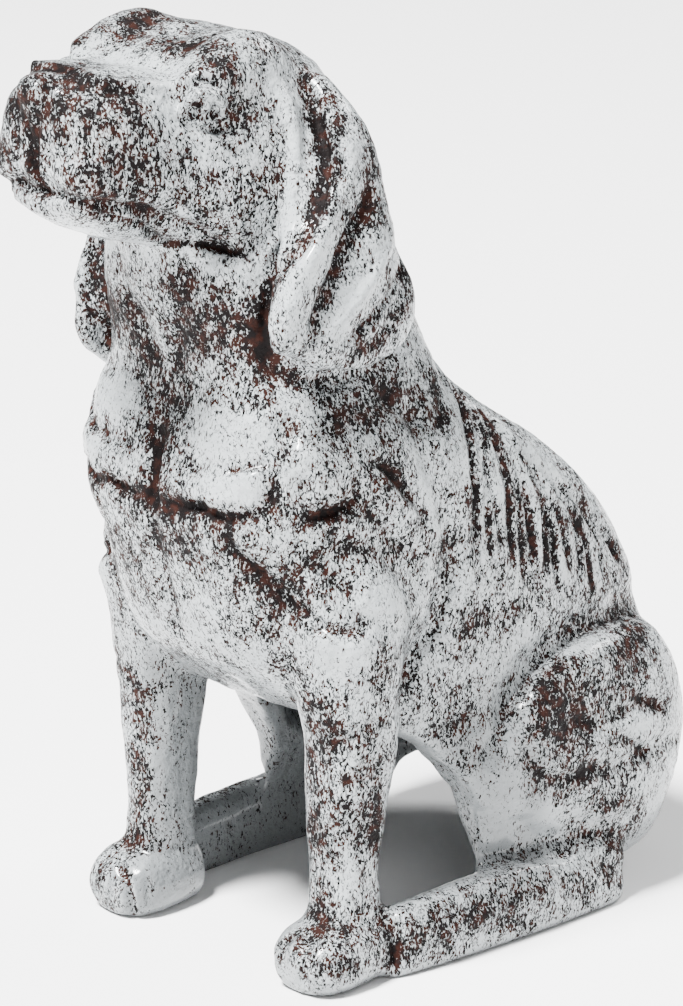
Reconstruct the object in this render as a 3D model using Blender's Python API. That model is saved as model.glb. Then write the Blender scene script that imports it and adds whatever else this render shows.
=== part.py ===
"""Sitting dog doorstop, cast in iron as one shell that is open underneath.

The dog faces -Y, its left side is +X, and it sits on the plane Z = 0.
Stations, cuts and carving are written in shares of the dog's height, and
there are SHARES of them from the soles to the crown. The wall is in metres.
"""
import math

import bmesh
import bpy
import numpy as np
from mathutils import Vector
from mathutils.bvhtree import BVHTree

# Driving dimensions, in metres
HEIGHT = 0.232
WALL = 0.0085
GRAIN = 0.0015
TRIANGLES = 9600

# The figure's own unit
SHARES = 232
SHARE = HEIGHT / SHARES

# How many times the skin of each blend is smoothed
BODY_PASSES = 10
CORE_PASSES = 12
SKIN_PASSES = 3

# Finish of the casting
PAINT = (0.70, 0.72, 0.73, 1.0)
ROUGHNESS = 0.5
METALLIC = 0.0

# Stations: x, y, z, half width, reach behind or above, reach in front or below, squareness
TORSO = [
    (0, 30, -6, 39, 44, 64, 3.4),
    (0, 30, 4, 41, 48, 64, 3.4),
    (0, 30, 20, 42, 52, 64, 3.4),
    (0, 30, 40, 42, 53, 64, 3.2),
    (0, 26, 55, 42, 54.5, 62, 3.0),
    (0, 18, 66, 42, 59, 62, 3.0),
    (0, 8, 80, 42, 66, 67, 3.0),
    (0, -2, 100, 42.5, 63, 64, 3.0),
    (0, -15, 118, 43.5, 55.5, 55, 3.2),
    (0, -25, 132, 42, 43.5, 43, 3.2),
    (0, -29, 144, 37, 34, 35, 3.0),
    (0, -32, 156, 34, 30.5, 33, 3.0),
    (0, -36, 172, 32, 29, 33, 2.8),
    (0, -40, 186, 28, 28, 30, 2.4),
    (0, -42, 200, 24, 25, 24, 2.3),
]
HAUNCH = [
    (31, 75, 37, 7, 11, 16, 2.2),
    (32, 68, 38, 12, 21.5, 29, 2.3),
    (33, 56, 40, 15.5, 31, 34, 2.4),
    (33.5, 38, 43, 15.8, 32, 30, 2.4),
    (33.5, 20, 45, 15, 27, 22, 2.4),
    (33, 5, 46, 12.5, 20, 17, 2.3),
    (33, -8, 47, 9.5, 12, 12, 2.2),
]
SKULL = [
    (0, -17, 198, 12, 8, 12, 2.1),
    (0, -23, 199, 19, 13, 18, 2.3),
    (0, -32, 200, 25.5, 23, 23, 2.6),
    (0, -45, 202, 29.5, 27.5, 25, 2.8),
    (0, -58, 203, 28.5, 28.5, 23, 2.9),
    (0, -68, 205, 25, 24.5, 21, 2.8),
    (0, -77, 206, 21, 19, 20, 2.6),
]
MUZZLE = [
    (0, -58, 203, 20, 20, 20, 2.6),
    (0, -74, 205, 21.5, 20, 18.5, 2.8),
    (0, -87, 207, 20.5, 20, 17, 2.9),
    (0, -96, 208, 18, 19, 15.5, 2.8),
    (0, -100.5, 209, 15, 16, 13, 2.6),
    (0, -103.5, 209, 8, 9, 8, 2.3),
]
JAW = [
    (0, -50, 190, 18, 10, 12, 2.4),
    (0, -70, 193, 16, 10, 11, 2.4),
    (0, -86, 196, 14, 8, 9.5, 2.4),
    (0, -96, 198, 11.5, 6, 7, 2.3),
    (0, -101, 199, 7, 4, 5, 2.2),
]
EAR = [
    (22, -39, 219, 5, 4, 4, 2.0),
    (27, -39, 213, 6, 7, 6, 2.2),
    (32, -39, 205, 6, 9, 10, 2.4),
    (34.5, -40, 192, 6, 13, 13.5, 2.5),
    (36, -42, 178, 6, 20, 19.5, 2.6),
    (36.5, -42, 167, 6, 24, 23, 2.6),
    (37, -43, 159, 5, 20.5, 19, 2.4),
    (37, -44, 154, 3.5, 9, 10, 2.0),
]
BROW = [
    (17, -45, 221, 7, 7, 8, 2.0),
    (18, -55, 222.5, 9, 10.5, 8, 2.2),
    (18.5, -66, 221.5, 7.5, 8.5, 8, 2.2),
    (18, -75, 219, 5, 4, 5, 2.0),
]
FORELEG = [
    (34.5, -40, 2, 8.5, 9, 9, 2.8),
    (34, -39, 16, 8, 9, 8, 2.8),
    (33.5, -38.5, 28, 7.8, 8, 7.5, 2.8),
    (33.8, -38, 45, 9, 9.5, 9, 2.8),
    (34.5, -37, 60, 10.5, 11, 10.5, 2.6),
    (34, -37, 74, 11.8, 13, 13, 2.4),
    (32.5, -37.5, 92, 12.5, 15, 16.5, 2.3),
    (31, -38, 108, 11, 12, 16, 2.2),
]
PAW = [
    (34.5, -30, 7, 9, 8, 8, 2.5),
    (34.5, -38, 7, 11, 10, 8, 2.6),
    (34.5, -47, 6.5, 11.5, 9.5, 8, 2.6),
    (34.5, -53, 5.5, 10, 7.5, 7, 2.5),
    (34.5, -56.5, 4.5, 6, 4, 5, 2.2),
]
HIND_FOOT = [
    (43.5, 47, 8, 3, 6, 10, 2.6),
    (44, 42, 8, 5, 9.5, 10, 2.8),
    (44.5, 22, 8, 5.2, 11, 10, 2.8),
    (44, 2, 8, 5.2, 11, 10, 2.8),
    (43, -16, 8, 5.2, 10.5, 10, 2.8),
    (41.5, -32, 8, 4.8, 9, 10, 2.8),
]
FOOT_WELL = [
    (0, 24, -12, 39.5, 50, 90, 3.5),
    (0, 24, 10, 39.5, 50, 90, 3.5),
    (0, 26, 20, 38, 46, 80, 3.2),
    (0, 26, 32, 32, 42, 70, 3),
]
TAIL = [
    (-2, 73, 58, 5, 5, 5, 2.0),
    (-3, 81, 44, 6, 6, 6, 2.0),
    (-6, 83, 30, 6.5, 6, 6, 2.0),
    (-9, 82, 18, 6, 5.5, 5.5, 2.0),
    (-11, 80, 10, 4, 4, 4, 2.0),
]
NOSE = [
    (0, -94, 221, 6, 4, 4, 2.2),
    (0, -99, 221, 7, 5.5, 5.5, 2.4),
    (0, -103, 220.5, 6, 5, 5, 2.3),
    (0, -105, 220, 3, 3, 3, 2.0),
]

# The open space under the chest and belly, as y, z of its edge
BELLY_EDGE = [(-90, 66), (-48, 66), (-34, 62), (-24, 58.5), (-14, 53), (-6, 44), (-1.5, 36), (0.5, 29),
              (1, 18), (1, -20)]
# The right ear against the left one: times as long, and set further back
RIGHT_EAR_LENGTH = 1.24
RIGHT_EAR_BACK = 5
# The gap under the rump behind the heels: y where it starts, height on each side
RUMP_GAP_START = 45
RUMP_GAP_LEFT = 6
RUMP_GAP_RIGHT = 16
# How far the cutters reach beyond the middle of the dog
REACH = 70

# Carving on the left side, repeated on the right: path, width, height in shares
FACE = [
    ([(0, -106, 200), (8, -105, 199.5), (14, -101, 197.5), (19, -94, 195), (21, -86, 191.5), (20.5, -77, 187),
      (20, -70, 184), (20.5, -64, 183), (22, -59, 182)], 1.8, -2.4),
    ([(4.5, -99, 227), (5, -104, 219), (5, -105.5, 210), (5.5, -104, 202)], 1.6, -1.3),
    ([(0, -106, 214), (0, -106, 209), (0, -105.5, 203)], 1.3, -0.9),
    ([(3.6, -102, 222), (5, -101, 220)], 1.5, -1.2),
    ([(12, -101, 207), (13, -100, 199)], 5.5, 1.2),
    ([(6, -98, 227), (12, -94, 226), (16, -85, 224.5), (18.5, -77, 223)], 1.8, 1.0),
    ([(0, -94, 228), (0, -84, 226), (0, -76, 226)], 5.0, -1.2),
    ([(18, -78, 221), (20, -75, 219)], 2.5, -1.6),
    ([(20.5, -75.5, 216.5), (24.5, -68, 216)], 5.0, -1.8),
    ([(22.3, -73, 217.6), (23.5, -70, 217.4)], 2.8, 2.6),
    ([(20, -77, 219), (22.5, -73, 221.5), (25, -67, 219.5)], 1.8, 1.2),
    ([(21.5, -75, 212.5), (25, -67, 211)], 2.0, 0.9),
    ([(19, -78, 223.5), (22.5, -72, 225.5), (26, -65, 224)], 2.4, 1.2),
    ([(25, -52.5, 221.5), (28, -50.5, 213), (30, -50, 203), (30.5, -52, 194), (28.5, -54, 186),
      (25.5, -57.5, 179)], 2.4, 2.0),
    ([(0, -66, 234), (0, -50, 232), (0, -34, 226)], 4.0, -1.3),
]
EAR_FOLDS = [
    ([(27, -44, 220), (31.5, -45, 214), (35, -47.5, 206), (37, -50.5, 197), (37, -56, 187), (35, -61, 177),
      (33, -65, 167), (32, -64, 158)], 2.4, -2.6),
    ([(38.5, -45, 199), (40, -54, 184), (40, -61, 171), (37, -62, 161)], 3.0, 1.5),
    ([(39, -36, 196), (41, -45.5, 181), (41.5, -53, 170), (40.5, -55, 162)], 2.4, -1.7),
    ([(39.5, -33, 189), (41.5, -38, 175), (41.5, -47, 166), (38.5, -52, 157)], 3.0, 1.3),
    ([(39, -24, 184), (41, -26, 173), (41, -33, 163), (39, -45, 156.5)], 1.8, -1.0),
    ([(31, -64, 160), (32, -56, 152), (33, -44, 150.5), (35, -32, 153.5), (33, -20, 160), (28, -12, 170)],
     2.6, -2.4),
]
CHEST = [
    ([(0, -66, 142), (0, -70, 127), (0, -71, 115), (0, -67, 102), (0, -63, 90), (0, -59, 81)], 2.2, -1.6),
    ([(13, -70, 181), (12, -67, 171), (6, -66, 160), (3, -66, 149)], 3.0, -1.3),
    ([(13, -65, 141), (24, -62.5, 140), (31, -58, 142)], 7.0, 1.6),
    ([(9, -68, 131), (20, -66.5, 131), (30.5, -61.5, 134.5), (33, -56.5, 141), (32.5, -53.5, 146)], 2.0, -1.4),
    ([(16.5, -68.5, 125), (24.5, -66, 127.5), (31, -62.5, 130)], 5.0, 1.4),
    ([(7, -70, 119), (14, -69.5, 121), (21.5, -68, 120), (29.5, -64.5, 121.5), (33, -61.5, 124), (33, -61, 130)],
     2.0, -1.4),
    ([(36, -54.5, 137.5), (39.5, -51, 131.5), (41, -48, 126.5)], 5.5, 1.5),
    ([(37, -55.5, 130.5), (38.5, -54, 122), (40.5, -49, 121), (42, -43.5, 123), (42, -41, 128)], 2.0, -1.8),
    ([(42.5, -38, 127), (43, -31, 119.5), (43, -24, 111)], 4.0, 1.4),
    ([(42, -39, 132), (43, -30.5, 128), (43.5, -25.5, 121), (43, -20, 112)], 2.0, -1.5),
    ([(42, -41, 123), (42.5, -33.5, 114), (42.5, -26.5, 107)], 2.0, -1.4),
    ([(43, -42, 103.5), (44.5, -33.5, 97), (41, -22, 89)], 5.5, 1.8),
    ([(40.5, -49, 105.5), (43.5, -45.5, 99.5), (45, -43, 93), (43, -49.5, 92)], 2.0, -1.5),
    ([(22.5, -66.5, 113.5), (27, -62, 106.5), (30, -58, 101), (36.5, -55, 96.5), (43, -49.5, 92)], 2.2, -1.6),
    ([(44, -48, 88), (46, -40, 86.5), (46, -33, 83.5)], 6.0, 1.4),
    ([(37, -30, 146), (39.5, -22.5, 140.5), (41, -14, 135.5), (38, -9, 139)], 2.4, -1.6),
    ([(45, -30, 68), (43, -21, 77), (43, -16, 88), (43.5, -11, 103), (43.5, -13, 112), (43.3, -18, 125),
      (42, -20, 136), (38, -18, 146)], 3.4, -2.2),
]
HAUNCH_FOLDS = [
    ([(43, -3, 48), (44, 4, 54), (43.5, 8, 61), (42.5, 15, 67), (42, 27, 72.5), (41, 42, 75), (37, 59, 74),
      (28, 70, 72)], 4.0, -2.6),
    ([(47, 14, 52), (46, 17, 60), (45.5, 25, 65), (45.5, 35, 67), (46, 48, 64)], 6.0, 1.6),
    ([(45, 4, 50), (47, 12, 41), (48, 22, 34), (46, 38, 22)], 4.0, -1.2),
    ([(48, 24, 55), (49, 35, 50), (49, 48, 52), (44, 60, 50)], 2.2, -1.3),
    ([(49, 28, 42), (50, 40, 37), (48, 54, 40), (42, 66, 38)], 2.2, -1.3),
]
FEET = [
    ([(41, 0, 21.5), (43, 8, 21.5), (46, 22, 19.5), (48, 37, 12.5), (46, 47, 7)], 2.4, -1.8),
    ([(41, -31.5, 18), (45, -32, 12), (47, -32, 3)], 2.0, -1.8),
    ([(31, -53, 15), (32, -58, 4)], 1.4, -1.3),
    ([(36.5, -50, 16), (39, -55, 3)], 1.4, -1.3),
]
# Combed waves that leave the spine one behind another and run down the flank
WAVES = 8
WAVE_STEP = 7.5
WAVE_WIDTH = 1.9
WAVE_DEPTH = -1.2


def clear_scene():
    for thing in list(bpy.data.objects):
        bpy.data.objects.remove(thing, do_unlink=True)


def smooth_rows(rows, steps):
    """Rows on a Catmull-Rom curve through the given rows."""
    rows = np.array(rows, dtype=float)
    before = 2 * rows[0] - rows[1]
    after = 2 * rows[-1] - rows[-2]
    padded = np.vstack([before, rows, after])
    result = []
    for index in range(1, len(padded) - 2):
        a, b, c, d = padded[index - 1:index + 3]
        for step in range(steps):
            t = step / steps
            square = (2 * a - 5 * b + 4 * c - d) * t ** 2
            cube = (3 * b - a - 3 * c + d) * t ** 3
            result.append(0.5 * (2 * b + (c - a) * t + square + cube))
    result.append(rows[-1])
    return np.array(result)


def power(value, squareness):
    return math.copysign(abs(value) ** (2 / squareness), value)


def loft(name, stations, sides=36, steps=5, mirror=False, level=False):
    """A closed skin over rounded-square rings that stand across a smooth spine."""
    rows = smooth_rows(stations, steps)
    centres = rows[:, :3] * SHARE
    directions = np.gradient(centres, axis=0)
    skin = bmesh.new()
    rings = []
    for centre, direction, row in zip(centres, directions, rows):
        half, reach_back, reach_front, squareness = row[3:]
        along = Vector((0, 0, 1)) if level else Vector(direction).normalized()
        side = Vector((1, 0, 0))
        side = (side - along * side.dot(along)).normalized()
        back = along.cross(side)
        ring = []
        for index in range(sides):
            angle = math.tau * index / sides
            across = power(math.cos(angle), squareness) * half * SHARE
            reach = reach_back if math.sin(angle) > 0 else reach_front
            rise = power(math.sin(angle), squareness) * reach * SHARE
            ring.append(skin.verts.new(Vector(centre) + side * across + back * rise))
        rings.append(ring)
    for lower, upper in zip(rings, rings[1:]):
        for index in range(sides):
            following = (index + 1) % sides
            skin.faces.new((lower[index], lower[following], upper[following], upper[index]))
    skin.faces.new(rings[0])
    skin.faces.new(rings[-1])
    if mirror:
        for vert in skin.verts:
            vert.co.x = -vert.co.x
    bmesh.ops.recalc_face_normals(skin, faces=skin.faces)
    return finish_shape(name, skin)


def finish_shape(name, skin):
    mesh = bpy.data.meshes.new(name)
    skin.to_mesh(mesh)
    skin.free()
    shape = bpy.data.objects.new(name, mesh)
    bpy.context.collection.objects.link(shape)
    return shape


def pair(name, stations):
    return [loft(name + " left", stations), loft(name + " right", stations, mirror=True)]


def bake(shape):
    """Replace the object's mesh with what its modifiers make of it."""
    bpy.context.view_layer.update()
    graph = bpy.context.evaluated_depsgraph_get()
    mesh = bpy.data.meshes.new_from_object(shape.evaluated_get(graph))
    shape.modifiers.clear()
    shape.data = mesh
    return shape


def blend(name, shapes, passes):
    """Melt overlapping closed shapes into one skin, then round it off."""
    joined = bmesh.new()
    for shape in shapes:
        joined.from_mesh(shape.data)
        bpy.data.objects.remove(shape, do_unlink=True)
    result = finish_shape(name, joined)
    melt = result.modifiers.new("melt", "REMESH")
    melt.mode = "VOXEL"
    melt.voxel_size = GRAIN
    rounding = result.modifiers.new("round off", "SMOOTH")
    rounding.factor = 0.5
    rounding.iterations = passes
    return bake(result)


def cut(shape, cutter):
    cutter.hide_render = True
    cutter.display_type = "WIRE"
    saw = shape.modifiers.new("cut", "BOOLEAN")
    saw.operation = "DIFFERENCE"
    saw.solver = "EXACT"
    saw.object = cutter
    bake(shape)
    bpy.data.objects.remove(cutter, do_unlink=True)
    return shape


def thinner(stations, wall):
    """The same stations drawn in by a wall, for the hollow inside."""
    inset = wall / SHARE
    rows = []
    for x, y, z, half, back, front, squareness in stations:
        rows.append((x, y, z, half - inset, back - inset, front - inset, squareness))
    return rows


def hollow():
    """The core of the casting: everything that is empty inside the shell."""
    rump = loft("core rump", thinner(TORSO[:10], WALL), level=True)
    thighs = [loft("core thigh left", thinner(HAUNCH[1:6], WALL))]
    thighs.append(loft("core thigh right", thinner(HAUNCH[1:6], WALL), mirror=True))
    well = loft("core well", FOOT_WELL, level=True)
    return blend("core", [rump, well] + thighs, CORE_PASSES)


def side_cutter(name, left, right):
    """A block across the whole dog between two outlines of y, z points, one for each side."""
    skin = bmesh.new()
    ends = []
    for x, outline in ((REACH, left), (-REACH, right)):
        ends.append([skin.verts.new(Vector((x, y, z)) * SHARE) for y, z in outline])
    count = len(left)
    for index in range(count):
        following = (index + 1) % count
        skin.faces.new((ends[0][index], ends[0][following], ends[1][following], ends[1][index]))
    skin.faces.new(ends[0])
    skin.faces.new(ends[1])
    bmesh.ops.recalc_face_normals(skin, faces=skin.faces)
    return finish_shape(name, skin)


def belly_cutter():
    """Everything in front of the arch that runs from the chest down to the thigh."""
    edge = smooth_rows(BELLY_EDGE, 4).tolist()
    edge.append((BELLY_EDGE[0][0], BELLY_EDGE[-1][1]))
    return side_cutter("belly cutter", edge, edge)


def rump_cutter():
    """The gap under the rump behind the heels, higher on the right than on the left."""
    outlines = []
    for gap in (RUMP_GAP_LEFT, RUMP_GAP_RIGHT):
        edge = [(RUMP_GAP_START, -20), (RUMP_GAP_START, 0), (RUMP_GAP_START + 2, gap * 0.6)]
        edge += [(RUMP_GAP_START + 7, gap), (RUMP_GAP_START + 20, gap * 1.1), (REACH * 2, gap * 1.1)]
        edge = smooth_rows(edge, 4).tolist()
        edge.append((REACH * 2, -20))
        outlines.append(edge)
    return side_cutter("rump cutter", *outlines)


def right_ear():
    """Stations of the right ear, which hangs lower than the left one."""
    top = EAR[0][2]
    return [(x, y + RIGHT_EAR_BACK, top + (z - top) * RIGHT_EAR_LENGTH, *rest) for x, y, z, *rest in EAR]


def block(name, low, high):
    """A plain box between two corners, in shares."""
    skin = bmesh.new()
    bmesh.ops.create_cube(skin, size=1)
    low, high = Vector(low) * SHARE, Vector(high) * SHARE
    for vert in skin.verts:
        for axis in range(3):
            vert.co[axis] = low[axis] if vert.co[axis] < 0 else high[axis]
    return finish_shape(name, skin)


def back_waves():
    strokes = []
    for index in range(WAVES):
        y = -5 + WAVE_STEP * index
        z = 138 - 0.6 * WAVE_STEP * index
        swing = 0.15 + 0.13 * index
        path = [(20, y - 10 * swing, z + 8), (34, y, z), (40, y + 6 * swing, z - 10)]
        path += [(42, y + 13 * swing, z - 22), (42, y + 16 * swing, z - 36)]
        strokes.append((path, WAVE_WIDTH, WAVE_DEPTH))
    return strokes


def carve(shape, strokes):
    """Raise or sink the skin along each stroke, on both sides of the dog."""
    mesh = shape.data
    count = len(mesh.vertices)
    points = np.empty(count * 3)
    mesh.vertices.foreach_get("co", points)
    points = points.reshape(-1, 3)
    normals = np.empty(count * 3)
    mesh.vertices.foreach_get("normal", normals)
    normals = normals.reshape(-1, 3)
    finder = BVHTree.FromObject(shape, bpy.context.evaluated_depsgraph_get())
    lift = np.zeros(count)
    for path, width, height in strokes:
        width = width * SHARE
        line = smooth_rows(path, 8) * SHARE
        on_centre = np.all(line[:, 0] == 0)
        for sign in (1,) if on_centre else (1, -1):
            mirrored = line * (sign, 1, 1)
            on_skin = np.array([finder.find_nearest(Vector(spot))[0] for spot in mirrored])
            near = np.all((points > on_skin.min(0) - 3 * width) & (points < on_skin.max(0) + 3 * width), axis=1)
            chosen = np.nonzero(near)[0]
            if len(chosen) == 0:
                continue
            gaps = np.linalg.norm(points[chosen, None, :] - on_skin[None, :, :], axis=2)
            place = gaps.argmin(1) / (len(on_skin) - 1)
            taper = np.clip(6 * np.minimum(place, 1 - place) + 0.35, 0, 1)
            lift[chosen] += height * SHARE * taper * np.exp(-(gaps.min(1) / width) ** 2)
    points += normals * lift[:, None]
    mesh.vertices.foreach_set("co", points.ravel())
    mesh.update()
    return shape


def paint():
    material = bpy.data.materials.new("worn paint on cast iron")
    material.use_nodes = True
    shader = material.node_tree.nodes["Principled BSDF"]
    shader.inputs["Base Color"].default_value = PAINT
    shader.inputs["Roughness"].default_value = ROUGHNESS
    shader.inputs["Metallic"].default_value = METALLIC
    return material


def build_dog():
    masses = [loft("torso", TORSO, level=True), loft("skull", SKULL), loft("muzzle", MUZZLE)]
    masses += pair("haunch", HAUNCH)
    masses += pair("brow", BROW)
    body = blend("body", masses, BODY_PASSES)
    cut(body, belly_cutter())
    cut(body, hollow())
    cut(body, rump_cutter())
    additions = [body, loft("jaw", JAW), loft("tail", TAIL), loft("nose", NOSE)]
    additions += [loft("ear left", EAR), loft("ear right", right_ear(), mirror=True)]
    additions += pair("foreleg", FORELEG)
    additions += pair("paw", PAW)
    additions += pair("hind foot", HIND_FOOT)
    dog = blend("sitting_dog", additions, SKIN_PASSES)
    carve(dog, CHEST + HAUNCH_FOLDS + FEET + back_waves())
    carve(dog, EAR_FOLDS + FACE)
    cut(dog, block("ground", (-REACH, -2 * REACH, -REACH), (REACH, 2 * REACH, 0)))
    thin = dog.modifiers.new("fewer triangles", "DECIMATE")
    faces = sum(len(face.vertices) - 2 for face in dog.data.polygons)
    thin.ratio = TRIANGLES / faces
    bake(dog)
    return dog


def centre_on_origin(dog):
    """Stand the dog with the middle of its bounding box over the origin."""
    corners = np.array([tuple(corner) for corner in dog.bound_box])
    low, high = corners.min(0), corners.max(0)
    shift = Vector((-(low[0] + high[0]) / 2, -(low[1] + high[1]) / 2, -low[2]))
    for vert in dog.data.vertices:
        vert.co += shift
    return shift


def main():
    clear_scene()
    dog = build_dog()
    shift = centre_on_origin(dog)
    dog.data.materials.clear()
    dog.data.materials.append(paint())
    dog.data.shade_smooth()
    return dog, shift


if __name__ == "__main__":
    main()
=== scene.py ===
# %% [markdown]
# # A sitting dog doorstop in worn white paint
#
# The real thing is one hollow iron casting. Its maker cut the coat with a few bold
# strokes, poured it in sand, brushed white paint over the brown iron, and then let the
# paint rub through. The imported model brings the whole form. This lesson adds what sits
# on that form: finer carving, the grain of the casting, and paint that has worn away.

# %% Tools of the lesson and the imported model
import math

import bmesh
import bpy
import numpy as np
from mathutils import Matrix, Vector, noise
from mathutils.bvhtree import BVHTree


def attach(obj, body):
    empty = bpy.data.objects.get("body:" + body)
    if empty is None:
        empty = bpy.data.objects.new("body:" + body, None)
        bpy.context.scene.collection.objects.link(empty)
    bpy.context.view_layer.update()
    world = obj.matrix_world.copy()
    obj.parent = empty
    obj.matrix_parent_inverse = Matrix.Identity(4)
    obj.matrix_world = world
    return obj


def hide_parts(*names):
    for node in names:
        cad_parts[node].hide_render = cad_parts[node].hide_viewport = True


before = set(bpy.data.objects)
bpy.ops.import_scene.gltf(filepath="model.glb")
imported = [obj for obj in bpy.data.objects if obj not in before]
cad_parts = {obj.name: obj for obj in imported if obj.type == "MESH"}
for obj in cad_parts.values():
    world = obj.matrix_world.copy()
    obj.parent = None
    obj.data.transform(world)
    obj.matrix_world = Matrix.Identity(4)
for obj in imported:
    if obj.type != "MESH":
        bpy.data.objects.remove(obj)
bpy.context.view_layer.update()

# %% [markdown]
# ## The camera comes first
#
# The picture was taken from in front of the dog's left shoulder and a little above it,
# with a long lens. Placing the camera first pays off twice: every later look is judged
# in the right frame, and a spot that is seen in the picture can be found on the casting
# by sending a ray from the camera through it.

# %% The camera
PICTURE = (683, 1006)
AZIMUTH = math.radians(47)
ELEVATION = math.radians(17)
DISTANCE = 1.1
TARGET = Vector((0.0065, -0.0055, 0.1084))
SENSOR = 36
LENS = 161.4


def direction(azimuth, elevation):
    """From the dog outwards; azimuth 0 is straight in front of it."""
    level = math.cos(elevation)
    return Vector((math.sin(azimuth) * level, -math.cos(azimuth) * level, math.sin(elevation)))


to_camera = direction(AZIMUTH, ELEVATION)
to_right = Vector((math.cos(AZIMUTH), math.sin(AZIMUTH), 0))
to_top = to_camera.cross(to_right)
turned = Matrix((to_right, to_top, to_camera)).transposed().to_4x4()
camera = bpy.data.objects.new("camera", bpy.data.cameras.new("camera"))
camera.data.sensor_width = SENSOR
camera.data.lens = LENS
camera.matrix_world = Matrix.Translation(TARGET + to_camera * DISTANCE) @ turned
bpy.context.collection.objects.link(camera)
bpy.context.scene.camera = camera
print("camera at", [round(value, 3) for value in camera.matrix_world.translation])

# %% [markdown]
# ## A finer copy of the casting
#
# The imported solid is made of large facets, so it can't hold a carved eyelid. A copy of
# its mesh is split into small even cells by a voxel remesh, and a few smoothing passes
# take the facets away. Sculptors do the same before they start on detail. The copy then
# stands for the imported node.

# %% A fine, smooth skin
VOXEL = 0.0007
PASSES = 9

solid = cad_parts["sitting_dog"]
dog = bpy.data.objects.new("dog_casting", solid.data.copy())
dog.data.materials.clear()
bpy.context.collection.objects.link(dog)
dog.matrix_world = solid.matrix_world.copy()


def bake(shape):
    """Replace the mesh with what the modifiers make of it."""
    bpy.context.view_layer.update()
    graph = bpy.context.evaluated_depsgraph_get()
    made = bpy.data.meshes.new_from_object(shape.evaluated_get(graph))
    shape.modifiers.clear()
    shape.data = made


split = dog.modifiers.new("even cells", "REMESH")
split.mode = "VOXEL"
split.voxel_size = VOXEL
rounding = dog.modifiers.new("no facets", "SMOOTH")
rounding.factor = 0.5
rounding.iterations = PASSES
bake(dog)
print("fine skin", len(dog.data.vertices), "points")

# %% [markdown]
# ## Strokes
#
# A chisel mark, an eyelid or a lock of fur is a soft ridge or groove that follows a line.
# Each stroke here is a list of spots of the picture, read in pixels from its top left
# corner. A ray finds each spot on the skin, a smooth curve joins them, and the skin near
# the curve is lifted or sunk along its own normal. The other side of the dog, which the
# picture hides, gets the mirror image, laid on the skin there.

# %% Points, rays and smooth lines
def read(mesh, what):
    """One row of three numbers for each point of the mesh."""
    values = np.empty(len(mesh.vertices) * 3)
    mesh.vertices.foreach_get(what, values)
    return values.reshape(-1, 3)


def finder(shape):
    """A search tree that finds the spot of the skin that a ray hits, or that is nearest."""
    return BVHTree.FromObject(shape, bpy.context.evaluated_depsgraph_get())


def seen_at(tree, across, down):
    """The spot of the skin that the picture shows this many pixels across and down."""
    pixel = SENSOR / LENS / max(PICTURE)
    sideways = (across - PICTURE[0] / 2) * pixel
    upward = (PICTURE[1] / 2 - down) * pixel
    ray = (to_right * sideways + to_top * upward - to_camera).normalized()
    return tree.ray_cast(camera.matrix_world.translation, ray)[0]


def smooth_line(spots, steps=16):
    """A Catmull-Rom curve through the spots."""
    if len(spots) == 1:
        return np.array(spots)
    spots = np.array(spots)
    padded = np.vstack([2 * spots[0] - spots[1], spots, 2 * spots[-1] - spots[-2]])
    line = []
    for index in range(1, len(padded) - 2):
        a, b, c, d = padded[index - 1:index + 3]
        for step in range(steps):
            t = step / steps
            line.append(0.5 * (2 * b + (c - a) * t + (2 * a - 5 * b + 4 * c - d) * t ** 2
                               + (3 * b - a - 3 * c + d) * t ** 3))
    line.append(spots[-1])
    return np.array(line)


def both_sides(tree, pixels):
    """The line on the skin through spots of the picture, and its twin on the other side."""
    found = [seen_at(tree, across, down) for across, down in pixels]
    missed = [pixel for pixel, spot in zip(pixels, found) if spot is None]
    if missed:
        print("not on the dog:", missed)
    line = smooth_line([spot for spot in found if spot is not None])
    lines = []
    for sign in (1, -1):
        laid = [tree.find_nearest(Vector(spot * (sign, 1, 1)))[0] for spot in line]
        lines.append(np.array(laid))
    return lines


# %% How strongly a stroke reaches each point
MILLIMETRE = 1000
END_STRENGTH, END_RISE = 0.3, 5


def reach(points, line, width, taper=True):
    """Which points lie near the line, and how near: 1 on it, fading to 0."""
    low, high = line.min(0) - 3 * width, line.max(0) + 3 * width
    chosen = np.nonzero(np.all((points > low) & (points < high), axis=1))[0]
    if len(chosen) == 0:
        return chosen, np.zeros(0)
    gaps = np.linalg.norm(points[chosen, None, :] - line[None, :, :], axis=2)
    strength = np.exp(-(gaps.min(1) / width) ** 2)
    if taper and len(line) > 1:
        place = gaps.argmin(1) / (len(line) - 1)
        strength = strength * np.clip(END_RISE * np.minimum(place, 1 - place) + END_STRENGTH, 0, 1)
    return chosen, strength


def carve(shape, strokes):
    """Raise or sink the skin along each stroke: pixels, width and height in millimetres."""
    points, normals = read(shape.data, "co"), read(shape.data, "normal")
    tree = finder(shape)
    lift = np.zeros(len(points))
    for pixels, width, height in strokes:
        for line in both_sides(tree, pixels):
            chosen, strength = reach(points, line, width / MILLIMETRE)
            lift[chosen] += height / MILLIMETRE * strength
    points += normals * lift[:, None]
    shape.data.vertices.foreach_set("co", points.ravel())
    shape.data.update()
    deepest, highest = round(MILLIMETRE * lift.min(), 2), round(MILLIMETRE * lift.max(), 2)
    print(len(strokes), "strokes, deepest", deepest, "mm, highest", highest)


# %% [markdown]
# ## The face
#
# The eye is small and set deep: a low ball between two lids, with a pit for the pupil and
# two folds of skin below it. The lips hang over the jaw along one sharp line, and two
# edges run back from the nose along the top of the muzzle.

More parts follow.
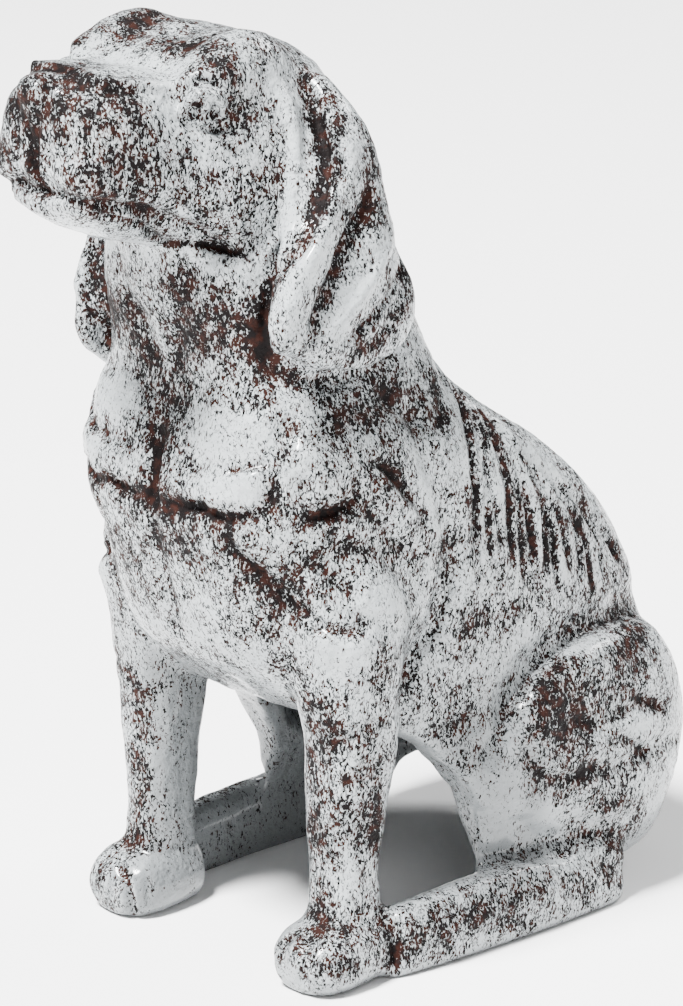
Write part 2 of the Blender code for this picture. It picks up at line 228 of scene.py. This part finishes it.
# %% Eye, lips and cheek
FACE = [
    ([(201, 104)], 1.7, 1.5),
    ([(200, 104)], 0.8, -1.7),
    ([(183, 108), (191, 97), (203, 92), (216, 97), (225, 107)], 0.9, 1.4),
    ([(184, 111), (193, 118), (206, 119), (218, 114), (226, 109)], 0.9, 1.3),
    ([(178, 104), (188, 88), (204, 82), (222, 88)], 1.2, -1.3),
    ([(180, 118), (194, 128), (210, 132), (226, 128)], 1.0, -1.4),
    ([(194, 126), (208, 134), (226, 138), (242, 134)], 1.0, 1.0),
    ([(212, 130), (226, 142), (240, 152)], 0.9, -0.81),
    ([(28, 185), (46, 194), (64, 193)], 0.9, -1.22),
    ([(75, 211), (100, 216), (135, 222), (150, 234), (165, 244), (186, 243), (215, 247),
      (240, 253)], 0.9, -1.6),
    ([(80, 206), (104, 211), (134, 217), (152, 228)], 1.2, 0.68),
    ([(35, 107), (34, 160), (38, 186)], 1.1, -1.08),
    ([(66, 66), (88, 76), (116, 82), (140, 84), (170, 84)], 1.3, 0.81),
    ([(70, 76), (96, 88), (130, 92), (160, 92)], 1.3, -0.68),
    ([(276, 84), (291, 110), (297, 160), (291, 200), (281, 235), (262, 262)], 1.4, 0.81),
    ([(88, 50), (130, 60), (170, 62)], 3.0, -0.68),
]
carve(dog, FACE)

# %% [markdown]
# ## The ears
#
# Each ear is a flap with a rolled front edge and two long folds. Its outline stands clear
# of the neck, so the groove around it is the darkest line of the head.

# %% Ear folds
EARS = [
    ([(306, 76), (320, 130), (327, 168), (318, 215), (298, 255), (272, 292), (264, 330),
      (272, 352)], 1.3, -1.35),
    ([(338, 196), (316, 246), (294, 292), (281, 336), (288, 360)], 2.0, 0.94),
    ([(369, 180), (364, 206), (342, 244), (326, 284), (310, 322)], 1.3, -1.08),
    ([(392, 232), (372, 280), (344, 318), (312, 354)], 1.6, 0.94),
    ([(402, 262), (386, 300), (354, 336), (322, 362)], 1.1, -0.81),
    ([(350, 140), (352, 166), (344, 192)], 1.6, 0.68),
    ([(332, 120), (344, 160), (336, 200)], 1.0, -0.68),
]
carve(dog, EARS)

# %% [markdown]
# ## The coat
#
# On the chest the fur lies in broad plates with ragged lower edges. Below them shorter
# locks point down and inward. The ragged edge comes from a function: it walks along the
# edge and sets a short lock across it every few steps.

# %% Ragged locks along an edge
LEAN = 4


def ragged(edge, locks, length, width, height):
    """Short strokes that hang from an edge given in pixels."""
    strokes = []
    path = smooth_line([(float(across), float(down)) for across, down in edge])
    for index in range(locks):
        place = path[round(index * (len(path) - 1) / max(locks - 1, 1))]
        lean = LEAN * math.sin(2.4 * index)
        size = length * (0.75 + 0.4 * math.sin(1.7 * index + 1) ** 2)
        root, tip = (place[0] - lean, place[1] - size), (place[0] + lean, place[1] + size)
        strokes.append(([root, tuple(place), tip], width, height))
    return strokes


CHEST = [
    ([(154, 424), (158, 460), (152, 490), (149, 510)], 1.4, -0.9),
    ([(189, 506), (210, 512), (227, 520), (248, 516), (266, 510)], 1.3, -0.9),
    ([(294, 422), (288, 448), (275, 468), (275, 504)], 1.3, -0.85),
    ([(226, 473), (248, 467), (268, 464)], 1.1, -0.78),
    ([(306, 521), (328, 514), (350, 502)], 1.3, -1.17),
    ([(106, 474), (122, 487), (146, 496)], 1.3, -1.17),
    ([(376, 464), (392, 476), (409, 500)], 1.2, -0.91),
    ([(226, 524), (236, 552), (272, 580), (290, 602), (322, 626), (356, 632)], 1.4, -0.85),
    ([(366, 466), (392, 492), (418, 522)], 2.0, 0.78),
    ([(350, 600), (380, 606), (402, 622)], 2.6, 0.91),
    ([(310, 640), (340, 650), (372, 650)], 3.0, 0.78),
    ([(452, 552), (450, 585), (436, 626), (412, 656), (402, 700)], 1.4, -0.91),
]
CHEST += ragged([(186, 500), (212, 508), (236, 514), (266, 506)], 8, 8, 0.9, 0.5)
CHEST += ragged([(300, 506), (324, 506), (350, 494)], 6, 8, 0.9, 0.5)
CHEST += ragged([(240, 560), (276, 590), (318, 622), (352, 628)], 9, 9, 1.1, 0.5)
CHEST += ragged([(310, 560), (340, 580), (372, 600)], 6, 9, 1.1, -0.5)
carve(dog, CHEST)

# %% [markdown]
# ## The combed back
#
# The long hair of the back is a fan of narrow waves. They start side by side along the
# back, run down the flank a few millimetres apart, and die out where the flank turns
# smooth. A function works out each wave from its number. A slow sine moves its middle and
# its lower end a little, so that no two waves are quite alike.

# %% Waves of the back
WAVES = 13
WAVE_WIDTH, WAVE_HEIGHT = 1.0, -1.6
SWAY, UNEVEN_END, BULGE = 3, 14, 5


def wave(index, width, height):
    """A groove of the back, counted from the shoulder towards the tail."""
    share = index / (WAVES - 1)
    top = (452 + 108 * share, 384 + 96 * share)
    middle = (474 + 132 * share + SWAY * math.sin(2.3 * index), 470 + 70 * share)
    uneven = UNEVEN_END * math.sin(1.9 * index + 1)
    foot = (478 + 138 * share, 556 + 30 * share - 60 * (share - 0.5) ** 2 + uneven)
    bend = ((top[0] + middle[0]) / 2 + BULGE, (top[1] + middle[1]) / 2)
    return ([top, bend, middle, foot], width, height)


carve(dog, [wave(index, WAVE_WIDTH, WAVE_HEIGHT) for index in range(WAVES)])

# %% [markdown]
# ## Haunch, legs and feet
#
# The thigh is ringed by one crease and carries rough lumps. The hind foot is a long low
# band beside the foreleg, and the paws are round knobs with a notch for each toe.

# %% Strokes of the haunch and feet
LIMBS = [
    ([(500, 745), (506, 706), (528, 672), (562, 644), (600, 622), (636, 613)], 1.5, -1.04),
    ([(536, 730), (530, 756), (552, 776), (590, 774)], 1.6, -1.04),
    ([(548, 700), (566, 672), (600, 656)], 2.4, 0.78),
    ([(636, 694), (662, 708)], 1.3, -1.04),
    ([(618, 734), (648, 752)], 1.4, -0.91),
    ([(596, 726), (640, 722)], 2.0, 0.65),
    ([(560, 800), (596, 812), (630, 800)], 2.4, 0.65),
    ([(396, 920), (396, 966)], 1.3, -1.17),
    ([(123, 868), (130, 890), (134, 914)], 0.9, -1.04),
    ([(148, 878), (147, 900)], 0.9, -0.78),
    ([(309, 960), (306, 990)], 0.9, -0.65),
    ([(345, 962)], 0.9, -0.65),
    ([(430, 940), (470, 924), (520, 900), (570, 884)], 2.4, 0.78),
    ([(330, 742), (352, 738), (378, 716)], 1.3, -0.65),
]
carve(dog, LIMBS)

# %% [markdown]
# ## The skin of a sand casting
#
# Iron poured in sand never comes out smooth. There are soft swells as wide as a finger
# tip, and lumps a few millimetres across. Both come from Perlin noise sampled at each
# point of the skin, so the pattern is fixed and has no seams. They fade out towards the
# floor, so that the feet still stand flat. The finest grain is left to the shader, which
# can draw it smaller than the mesh could.

# %% Swells and lumps
SWELL = (0.011, 0.00035)
LUMP = (0.0035, 0.00022)
SOLE, FADE = 0.004, 0.01


def roughen(shape):
    """Lift the skin by both sizes of noise, and say by how much."""
    points, normals = read(shape.data, "co"), read(shape.data, "normal")
    lift = np.zeros(len(points))
    for size, height in (SWELL, LUMP):
        lift += [height * noise.noise(Vector(point) / size) for point in points]
    above_sole = np.clip((points[:, 2] - SOLE) / FADE, 0, 1)
    points += normals * (lift * above_sole)[:, None]
    shape.data.vertices.foreach_set("co", points.ravel())
    shape.data.update()
    return lift


swells = roughen(dog)
print("swells and lumps up to", round(MILLIMETRE * float(np.abs(swells).max()), 2), "mm")

# %% [markdown]
# ## Fewer triangles
#
# The even cells have done their work. Decimate folds them together where the skin is
# plain and keeps them where it is carved, and that holds the piece under its limit.

# %% Slim the mesh
MOST_TRIANGLES = 190000


def triangle_count(shape):
    return sum(len(face.vertices) - 2 for face in shape.data.polygons)


before = triangle_count(dog)
fold = dog.modifiers.new("fewer triangles", "DECIMATE")
fold.ratio = MOST_TRIANGLES / before
bake(dog)
dog.data.shade_smooth()
print("from", before, "to", triangle_count(dog), "triangles")

# %% [markdown]
# ## Where the paint has worn
#
# Brushed paint misses the bottoms of grooves and rubs off the edges. So two things decide
# how bare a spot is. One is measured on the mesh: how far a point lies below the average
# of its surroundings. The other is a map of worn and clean places, drawn with the same
# strokes as the carving, and the waves of the back are in it too: bare in each groove
# and clean between two of them. Both end up in one attribute that the material reads.

# %% Grooves, measured on the mesh
WIDE_ROUNDS, SOFT_ROUNDS = 14, 2


def neighbours_mean(mesh, values, rounds):
    """Spread values over the mesh by averaging along its edges."""
    ends = np.empty(len(mesh.edges) * 2, dtype=np.int64)
    mesh.edges.foreach_get("vertices", ends)
    first, second = ends[::2], ends[1::2]
    count = np.bincount(ends, minlength=len(values)).astype(float)
    for _ in range(rounds):
        total = np.zeros_like(values)
        for axis in range(values.shape[1]):
            total[:, axis] = np.bincount(first, values[second, axis], len(values))
            total[:, axis] += np.bincount(second, values[first, axis], len(values))
        values = total / count[:, None]
    return values


points, normals = read(dog.data, "co"), read(dog.data, "normal")
around = neighbours_mean(dog.data, points.copy(), WIDE_ROUNDS)
groove = np.einsum("ij,ij->i", around - points, normals)
groove = neighbours_mean(dog.data, groove[:, None], SOFT_ROUNDS)[:, 0]
print("deepest groove", round(MILLIMETRE * float(groove.max()), 2), "mm")

# %% The map of worn and clean places
WORN = [
    ([(62, 66), (88, 79), (115, 88), (134, 107)], 3.0, 0.34),
    ([(37, 62), (35, 107), (35, 160), (40, 186)], 2.6, 0.26),
    ([(58, 110), (68, 150), (84, 196)], 6.0, 0.24),
    ([(107, 120), (112, 150), (108, 184)], 5.5, 0.28),
    ([(140, 130), (150, 170)], 4.5, 0.18),
    ([(84, 206), (96, 214)], 2.5, 0.22),
    ([(139, 209), (150, 226), (161, 238)], 2.6, 0.34),
    ([(225, 62), (233, 80), (244, 115)], 3.2, 0.34),
    ([(150, 11), (136, 26), (128, 36)], 2.8, 0.36),
    ([(78, 44), (84, 34)], 2.5, 0.22),
    ([(174, 48), (209, 46), (222, 32), (262, 36)], 2.6, 0.20),
    ([(279, 43), (300, 62), (321, 94), (319, 112)], 3.0, 0.24),
    ([(325, 134), (329, 174), (316, 222), (295, 257), (273, 289), (265, 321), (270, 352)], 3.0, 0.40),
    ([(270, 356), (289, 378), (321, 378), (354, 356), (388, 335), (409, 300), (402, 270)], 2.8, 0.28),
    ([(370, 150), (367, 201), (343, 241), (327, 284), (311, 321)], 2.6, 0.24),
    ([(99, 254), (107, 289), (126, 316), (142, 356), (145, 378)], 4.0, 0.26),
    ([(171, 268), (161, 289)], 4.0, 0.20),
    ([(188, 305), (228, 319), (257, 332)], 5.5, 0.28),
    ([(193, 348), (241, 356)], 5.0, 0.14),
    ([(154, 422), (159, 462), (152, 489), (148, 507)], 2.2, 0.24),
    ([(108, 475), (122, 486), (146, 494)], 3.2, 0.26),
    ([(162, 494), (167, 518), (162, 535)], 4.2, 0.24),
    ([(189, 505), (210, 510), (226, 518), (248, 515), (264, 510)], 3.4, 0.24),
    ([(293, 422), (288, 448), (274, 467), (274, 502)], 2.8, 0.30),
    ([(248, 467), (226, 472)], 2.2, 0.24),
    ([(309, 518), (328, 513), (349, 502)], 2.4, 0.36),
    ([(328, 408), (344, 427), (368, 403), (395, 414)], 4.2, 0.22),
    ([(376, 464), (392, 475), (408, 499)], 2.6, 0.24),
    ([(422, 521), (435, 534)], 2.6, 0.20),
    ([(432, 380), (440, 396), (443, 418)], 3.0, 0.38),
    ([(395, 381), (419, 400)], 3.0, 0.24),
    ([(226, 521), (236, 553), (274, 582), (288, 601), (322, 625), (355, 630)], 3.6, 0.28),
    ([(200, 545), (230, 590), (262, 620)], 8.0, 0.10),
    ([(340, 540), (368, 558), (381, 566)], 3.4, 0.18),
    ([(381, 665), (398, 690)], 4.0, 0.24),
    ([(322, 742), (340, 740), (366, 726)], 3.0, 0.26),
    ([(376, 800), (376, 840)], 2.6, 0.38),
    ([(316, 833), (348, 833)], 4.0, 0.18),
    ([(351, 779), (380, 776)], 2.4, 0.20),
    ([(134, 690), (137, 740), (141, 769)], 3.4, 0.22),
    ([(123, 869), (130, 890), (134, 915)], 2.0, 0.30),
    ([(148, 878), (148, 892)], 1.6, 0.32),
    ([(309, 922), (344, 944), (351, 961)], 3.4, 0.16),
    ([(401, 947), (437, 936), (491, 911), (526, 892), (580, 888), (612, 876)], 5.0, 0.20),
    ([(560, 668), (538, 730), (527, 755), (553, 777), (592, 774)], 4.2, 0.28),
    ([(582, 700), (570, 730)], 5.5, 0.24),
    ([(640, 632), (618, 657)], 3.6, 0.34),
    ([(636, 694), (662, 708)], 2.4, 0.32),
    ([(625, 737), (647, 752)], 3.0, 0.20),
    ([(596, 795), (618, 839)], 5.5, 0.18),
    ([(484, 414), (505, 468), (520, 501)], 2.2, 0.26),
    ([(527, 486), (533, 534), (529, 563)], 1.8, 0.28),
    ([(509, 501), (509, 541)], 1.8, 0.22),
    ([(545, 519), (545, 572)], 1.8, 0.24),
    ([(560, 470), (567, 519)], 1.8, 0.22),
    ([(582, 505), (589, 548), (589, 592)], 3.0, 0.24),
    ([(607, 523), (625, 585)], 2.6, 0.18),
    ([(500, 606), (473, 657), (455, 708)], 9.0, 0.09),
    ([(200, 104)], 0.9, 0.9),
    ([(184, 111), (193, 118), (206, 120), (218, 115)], 0.6, 0.34),
    ([(168, 245), (186, 243), (215, 247), (240, 253)], 0.8, 0.5),
    ([(209, 172), (241, 166), (263, 171), (240, 205)], 7.0, 0.16),
    ([(322, 730), (352, 760), (372, 800), (378, 850)], 6.0, 0.20),
    ([(320, 860), (330, 920)], 6.0, 0.12),
    ([(150, 690), (150, 760), (146, 840)], 5.0, 0.26),
    ([(545, 690), (570, 740), (620, 700)], 9.0, 0.2),
    ([(560, 800), (610, 820), (640, 780)], 8.0, 0.12),
]
CLEAN = [
    ([(166, 100), (186, 130), (220, 152), (256, 152)], 4.5, -0.35),
    ([(222, 100), (262, 120)], 3.0, -0.16),
    ([(284, 84), (296, 134), (292, 188), (276, 241)], 4.6, -0.42),
    ([(84, 228), (112, 238), (150, 250)], 3.5, -0.3),
    ([(88, 56), (134, 67), (170, 67)], 4.5, -0.29),
    ([(320, 254), (296, 300), (284, 338)], 3.4, -0.35),
    ([(388, 246), (366, 292), (336, 322)], 3.2, -0.38),
    ([(350, 150), (346, 190)], 3.6, -0.29),
    ([(171, 252), (210, 262), (244, 272)], 4.0, -0.32),
    ([(204, 420), (226, 440), (262, 434)], 6.5, -0.35),
    ([(204, 486), (230, 494), (252, 492)], 3.2, -0.35),
    ([(310, 474), (324, 490)], 4.6, -0.29),
    ([(300, 396), (312, 410)], 3.6, -0.26),
    ([(358, 440), (366, 452)], 3.6, -0.22),
    ([(416, 452), (428, 490), (440, 520)], 4.4, -0.35),
    ([(370, 596), (398, 618)], 5.5, -0.38),
    ([(315, 644), (360, 652)], 5.5, -0.32),
    ([(344, 866), (348, 896)], 4.0, -0.26),
    ([(500, 740), (510, 790), (500, 850)], 7.0, -0.28),
    ([(509, 690), (534, 662), (570, 640)], 3.2, -0.35),
    ([(540, 814), (548, 856)], 4.6, -0.32),
    ([(604, 730), (652, 724)], 2.6, -0.32),
    ([(640, 780), (660, 800)], 3.4, -0.26),
    ([(456, 560), (452, 600), (430, 660)], 4.5, -0.16),
    ([(200, 640), (250, 660), (290, 690)], 6.0, -0.16),
    ([(112, 600)], 6.0, -0.1),
    ([(448, 396), (458, 430), (464, 466)], 4.0, -0.35),
    ([(482, 410), (518, 438), (548, 464), (572, 488)], 2.6, -0.16),
]

# %% Wear drawn on the skin, stroke by stroke
WORN += [wave(index, 0.9, 0.34 + 0.16 * math.sin(2.1 * index)) for index in range(WAVES)]
CLEAN += [wave(index + 0.5, 1.3, -0.34) for index in range(WAVES - 1)]

skin = finder(dog)
wear = np.zeros(len(points))
for pixels, width, amount in WORN + CLEAN:
    for line in both_sides(skin, pixels):
        chosen, strength = reach(points, line, width / MILLIMETRE, taper=False)
        wear[chosen] += amount * strength
print(len(WORN), "worn strokes and", len(CLEAN), "clean ones")

# %% [markdown]
# ## Kept paint and painted shade in sheltered places
#
# Nothing rubs against the inside or against the faces between the legs, so the paint
# stays on there. These faces also get a grey laid on the paint as painted shade, for the
# shade that falls under the body and between the legs. Such faces look inwards or down and
# lie low, which their normals and heights tell. Two strokes add painted shade in the hollow
# of the flank behind the foreleg.

# %% The inside and the faces between the legs stay clean and get painted shade
GROOVE_GAIN, LEAST, MOST = 420, -0.08, 0.17
KEPT_PAINT = 0.35
BETWEEN, BORDER = 0.075, 0.01
# Two strokes of painted shade for the hollow of the flank behind the foreleg: pixels, width in
# millimetres.
PAINTED_SHADE_STROKES = [
    ([(480, 740), (492, 790), (500, 850)], 16.0),
    ([(530, 760), (530, 860)], 8.0),
]

inward = np.clip(-normals[:, 0] * np.sign(points[:, 0]) * 2, 0, 1)
low = np.clip((BETWEEN - points[:, 2]) / BORDER, 0, 1)
hidden = np.clip(-normals[:, 2] * 1.5, 0, 1)
# clean marks low faces that look inwards or down: paint is kept there, and the same mask is used
# below as painted shade.
clean = np.maximum(inward * low, hidden * low)
wear += np.clip(groove * GROOVE_GAIN, LEAST, MOST)
wear -= KEPT_PAINT * clean
# Painted shade: these low faces and the flank hollow get a grey paint colour for the shade that falls
# there.
painted_shade = clean.copy()
for pixels, width in PAINTED_SHADE_STROKES:
    for line in both_sides(skin, pixels):
        chosen, strength = reach(points, line, width / MILLIMETRE, taper=False)
        painted_shade[chosen] = np.maximum(painted_shade[chosen], strength)


def store(name, values):
    """Keep one number for each point, under a name that a material can read."""
    stored = dog.data.attributes.new(name, "FLOAT", "POINT")
    stored.data.foreach_set("value", values.astype(np.float32))


store("wear", wear)
# The painted shade goes into its own attribute, which the material reads.
store("painted_shade", painted_shade)
print("wear from", round(float(wear.min()), 2), "to", round(float(wear.max()), 2))

# %% [markdown]
# ## Shader sums written as sums
#
# A material is a sum over noise patterns. To write it that way, a small class wraps a
# node's output, and plus, minus and times make the Math nodes. Every other node comes
# from one method that takes the node's type, its settings and its sockets.

# %% A wire between nodes
FIRST_COLOUR, SECOND_COLOUR, MIXED_COLOUR = 6, 7, 2


class Wire:
    """The output of a node, to be used in a sum or plugged into a socket."""

    def __init__(self, tree, socket=None):
        self.tree = tree
        self.socket = socket

    def node(self, kind, settings=None, sockets=None, output=0):
        """Any node: its type, its settings, and the values or links of its sockets."""
        made = self.tree.nodes.new(kind)
        for name, value in (settings or {}).items():
            setattr(made, name, value)
        for name, value in (sockets or {}).items():
            if isinstance(value, Wire):
                self.tree.links.new(value.socket, made.inputs[name])
            else:
                made.inputs[name].default_value = value
        return Wire(self.tree, made.outputs[output] if len(made.outputs) else None)

    def sum(self, operation, first, second):
        return self.node("ShaderNodeMath", {"operation": operation}, {0: first, 1: second})

    def __add__(self, other):
        return self.sum("ADD", self, other)

    def __sub__(self, other):
        return self.sum("SUBTRACT", self, other)

    def __rsub__(self, other):
        return self.sum("SUBTRACT", other, self)

    def __mul__(self, other):
        return self.sum("MULTIPLY", self, other)

    __radd__ = __add__
    __rmul__ = __mul__

    def noise(self, size, detail=2.0, roughness=0.5, distortion=0.0):
        """Noise over this place, whose patches are about size metres wide."""
        sockets = {"Vector": self, "Scale": 1 / size, "Detail": detail, "Roughness": roughness,
                   "Distortion": distortion}
        return self.node("ShaderNodeTexNoise", None, sockets)

    def step(self, low, high):
        """0 below low, 1 above high, smooth between."""
        sockets = {"Value": self, "From Min": low, "From Max": high}
        return self.node("ShaderNodeMapRange", {"interpolation_type": "SMOOTHSTEP"}, sockets)

    def blend(self, first, second):
        """The first colour where this is 0, the second where it is 1."""
        sockets = {"Factor": self, FIRST_COLOUR: first, SECOND_COLOUR: second}
        return self.node("ShaderNodeMix", {"data_type": "RGBA"}, sockets, output=MIXED_COLOUR)


# %% [markdown]
# ## White paint rubbed down to brown iron
#
# The paint breaks up into flecks less than a millimetre long, which gather in patches.
# Three sizes of noise make the flecks, the wear attribute moves the level at which they
# show, and a fairly hard step cuts their edges. The two smaller ones are stretched upwards,
# as a brush leaves them. Bare iron varies from near black to rust brown. Around the flecks
# the paint is thin and takes a warm stain. In low places inside and between the legs a grey
# is laid on the paint as painted shade. The paint is a little glossy, the iron is dull, and
# a bump gives the paint its thickness and the iron its grain.

# %% The paint material
PAINT = (0.37, 0.396, 0.405, 1)
# The grey of the painted shade, laid on low faces inside and between the legs.
PAINTED_SHADE_GREY = (0.11, 0.118, 0.122, 1)
THIN_PAINT = (0.15, 0.161, 0.165, 1)
STAIN = (0.20, 0.11, 0.085, 1)
DARK_IRON = (0.004, 0.003, 0.003, 1)
RUST = (0.019, 0.0065, 0.0045, 1)
FLECK_SIZE, CLUSTER_SIZE, PATCH_SIZE = 0.00062, 0.0034, 0.016
FLECKS, CLUSTERS, PATCHES, WORN_PLACES = 5.8, 2.3, 1.6, 1.65
BRUSHED = (1, 1, 0.55)
LEVEL = 0.05
MIDDLE = 0.5

worn_paint = bpy.data.materials.new("worn_white_paint_on_iron")
worn_paint.use_nodes = True
nodes = worn_paint.node_tree.nodes
nodes.clear()
start = Wire(worn_paint.node_tree)
place = start.node("ShaderNodeTexCoord", output="Object")
brushed = start.node("ShaderNodeVectorMath", {"operation": "MULTIPLY"}, {0: place, 1: BRUSHED})
worn = start.node("ShaderNodeAttribute", {"attribute_name": "wear"}, output="Fac")
# The painted shade attribute, which greys the paint in low places.
painted_shade_factor = start.node("ShaderNodeAttribute", {"attribute_name": "painted_shade"}, output="Fac")

flecks = (brushed.noise(FLECK_SIZE, detail=3, roughness=0.6, distortion=0.9) - MIDDLE) * FLECKS
clusters = (brushed.noise(CLUSTER_SIZE, detail=3, roughness=0.6) - MIDDLE) * CLUSTERS
patches = (place.noise(PATCH_SIZE, detail=2) - MIDDLE) * PATCHES
bareness = flecks + clusters + patches + worn * WORN_PLACES
bare = bareness.step(LEVEL - 0.02, LEVEL + 0.03)
rubbed = bareness.step(LEVEL - 0.7, LEVEL)
warm = place.noise(0.0025, detail=4).step(0.44, 0.66)

iron = warm.blend(DARK_IRON, RUST)
thin = rubbed * 0.75 + place.noise(0.02, detail=3).step(0.35, 0.7) * 0.25
# The paint is greyed where the painted shade attribute is high: painted shade for the shade under the
# body.
paint_with_painted_shade = thin.blend((painted_shade_factor * 0.9).blend(PAINT, PAINTED_SHADE_GREY), THIN_PAINT)
paint = (rubbed * warm * worn.step(0.02, 0.3) * 0.5).blend(paint_with_painted_shade, STAIN)
colour = bare.blend(paint, iron)

grain = place.noise(0.0014, detail=3, roughness=0.55)
height = grain * 0.55 + place.noise(0.0045, detail=2) * 1.1 - bare * 0.35
bump = start.node("ShaderNodeBump", None, {"Strength": 1.0, "Distance": 0.0011, "Height": height})
roughness = 0.4 + bare * 0.2 + grain * 0.1
shader = start.node("ShaderNodeBsdfPrincipled", None, {
    "Base Color": colour, "Roughness": roughness, "Normal": bump, "Specular IOR Level": 0.06,
    "Coat Weight": (1 - bare) * 0.7, "Coat Roughness": 0.16})
start.node("ShaderNodeOutputMaterial", None, {"Surface": shader})
dog.data.materials.append(worn_paint)
print("material with", len(nodes), "nodes")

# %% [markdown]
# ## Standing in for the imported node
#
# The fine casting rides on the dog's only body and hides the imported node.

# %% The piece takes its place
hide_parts("sitting_dog")
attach(dog, "root")
print(dog.name, "stands for sitting_dog")

# %% [markdown]
# ## Floor and light
#
# A plain pale floor and large soft lights keep the eye on the carving. The main light
# stands high in front of the dog, to the left of the camera, so the chest is the brighter
# side. A weak light from the right fills the flank, and one from behind draws the edge of
# the back.

# %% The studio
AIM = Vector((0, 0, 0.12))
DAYLIGHT = 0.17
FLOOR_SIZE = 6


def soft_light(name, azimuth, elevation, distance, size, watts):
    """A round lamp that looks at the dog: angles in degrees, lengths in metres."""
    lamp = bpy.data.objects.new(name, bpy.data.lights.new(name, "AREA"))
    lamp.data.shape = "DISK"
    lamp.data.size = size
    lamp.data.energy = watts
    away = direction(math.radians(azimuth), math.radians(elevation))
    lamp.location = AIM + away * distance
    lamp.rotation_euler = away.to_track_quat("Z", "Y").to_euler()
    bpy.context.collection.objects.link(lamp)
    print(name, watts, "W")


soft_light("main light", 2, 62, 3.2, 0.8, 730)
soft_light("side light", 60, 25, 3.0, 1.6, 26)
soft_light("rim light", 170, 40, 3.0, 1.2, 90)

world = bpy.data.worlds.new("studio")
bpy.context.scene.world = world
world.use_nodes = True
world.node_tree.nodes["Background"].inputs["Color"].default_value = (1, 1, 1, 1)
world.node_tree.nodes["Background"].inputs["Strength"].default_value = DAYLIGHT

sheet = bmesh.new()
bmesh.ops.create_grid(sheet, x_segments=1, y_segments=1, size=FLOOR_SIZE)
floor = bpy.data.objects.new("floor", bpy.data.meshes.new("floor"))
sheet.to_mesh(floor.data)
sheet.free()
bpy.context.collection.objects.link(floor)
plain = bpy.data.materials.new("pale_floor")
plain.use_nodes = True
surface = plain.node_tree.nodes["Principled BSDF"]
surface.inputs["Base Color"].default_value = (0.95, 0.95, 0.95, 1)
surface.inputs["Roughness"].default_value = 0.8
floor.data.materials.append(plain)
